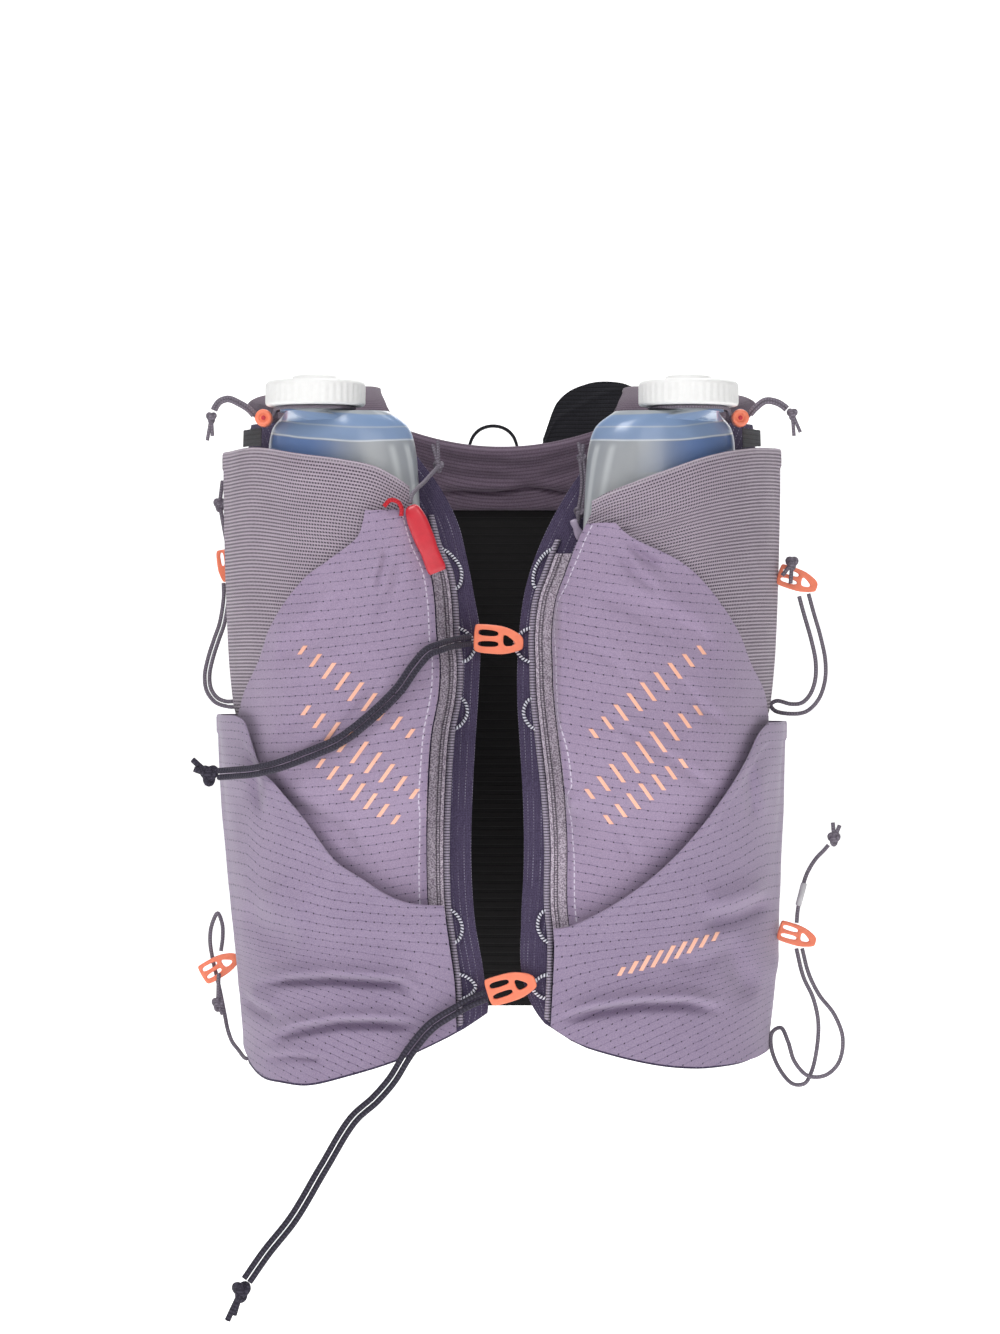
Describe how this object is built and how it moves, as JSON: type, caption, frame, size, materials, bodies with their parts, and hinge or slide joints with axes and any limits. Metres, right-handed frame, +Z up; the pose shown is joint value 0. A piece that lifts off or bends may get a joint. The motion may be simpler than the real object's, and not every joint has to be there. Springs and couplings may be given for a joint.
{
  "type": "running hydration vest",
  "caption": "Worn running vest with padded collar, zipped chest pockets, stretch pockets, soft flasks, elastic sternum and side cords with hooks.",
  "frame": {"origin": "shoulder seat: the middle between the crests of the two shoulder straps' inner faces", "axes": "+Z up, -Y towards the wearer's front, +X to the right in a front view"},
  "size_m": [0.3602, 0.2589, 0.5184],
  "materials": {
    "harness_mesh": "dark violet-blue knitted mesh with small dots",
    "ripstop": "dusty lilac woven cloth with fine dotted lines and rows of slanted printed bars",
    "stretch_cloth": "dusty lilac stretch woven with fine dotted lines",
    "ribbed_mesh": "grey-lilac stretch mesh with fine ribs and holes",
    "tape": "speckled grey zip tape and ribbed binding",
    "dark_mesh": "near-black stretch cloth",
    "lining": "dark grey-brown spacer mesh",
    "flask_film": "clear soft film with blue bands at the top",
    "cap_plastic": "white",
    "coral_plastic": "coral orange moulded plastic",
    "red_plastic": "red moulded plastic",
    "red_cord": "red elastic",
    "dark_cord": "dark grey round elastic with light flecks",
    "grey_cord": "lilac-grey round elastic with dark flecks"
  },
  "bodies": {
    "root": {"front_base_left": "harness_mesh", "front_base_right": "harness_mesh", "chest_pocket_left": "ripstop", "chest_pocket_right": "ripstop", "lower_pocket_left": "stretch_cloth", "lower_pocket_right": "stretch_cloth", "flask_pocket_left": "ribbed_mesh", "flask_pocket_right": "ribbed_mesh", "shoulder_strap_left": "ribbed_mesh", "shoulder_strap_right": "ribbed_mesh", "collar": "ribbed_mesh", "zip_strip_left": "tape", "zip_strip_right": "tape", "edge_webbing_left": "tape", "edge_webbing_right": "tape", "back_pocket": "dark_mesh", "back_pocket_flap": "dark_mesh", "hang_loop": "dark_mesh", "toggle_tab_left": "dark_mesh", "toggle_tab_right": "dark_mesh", "back_panel": "lining", "flask_left": "flask_film", "flask_right": "flask_film", "flask_cap_left": "cap_plastic", "flask_cap_right": "cap_plastic", "sternum_hook_upper": "coral_plastic", "sternum_hook_lower": "coral_plastic", "side_hook_upper_left": "coral_plastic", "side_hook_upper_right": "coral_plastic", "side_hook_lower_left": "coral_plastic", "side_hook_lower_right": "coral_plastic", "flask_toggle_left": "coral_plastic", "flask_toggle_right": "coral_plastic", "whistle": "red_plastic", "whistle_cord": "red_cord", "sternum_cord_upper_a": "dark_cord", "sternum_cord_upper_b": "dark_cord", "sternum_cord_lower_a": "dark_cord", "sternum_cord_lower_b": "dark_cord", "sternum_knot_upper": "dark_cord", "sternum_knot_lower": "dark_cord", "side_cord_upper_left": "grey_cord", "side_cord_upper_right": "grey_cord", "side_cord_lower_left": "grey_cord", "side_cord_lower_right": "grey_cord", "side_knot_upper_left": "grey_cord", "side_knot_upper_right": "grey_cord", "side_knot_lower_left": "grey_cord", "side_knot_lower_right": "grey_cord", "side_tail_lower_right": "grey_cord", "flask_cord_left": "grey_cord", "flask_cord_right": "grey_cord", "flask_tail_left": "grey_cord", "flask_tail_right": "grey_cord", "flask_knot_left": "grey_cord", "flask_knot_right": "grey_cord", "zip_pull_left": "grey_cord", "zip_pull_right": "grey_cord"}
  },
  "joints": []
}
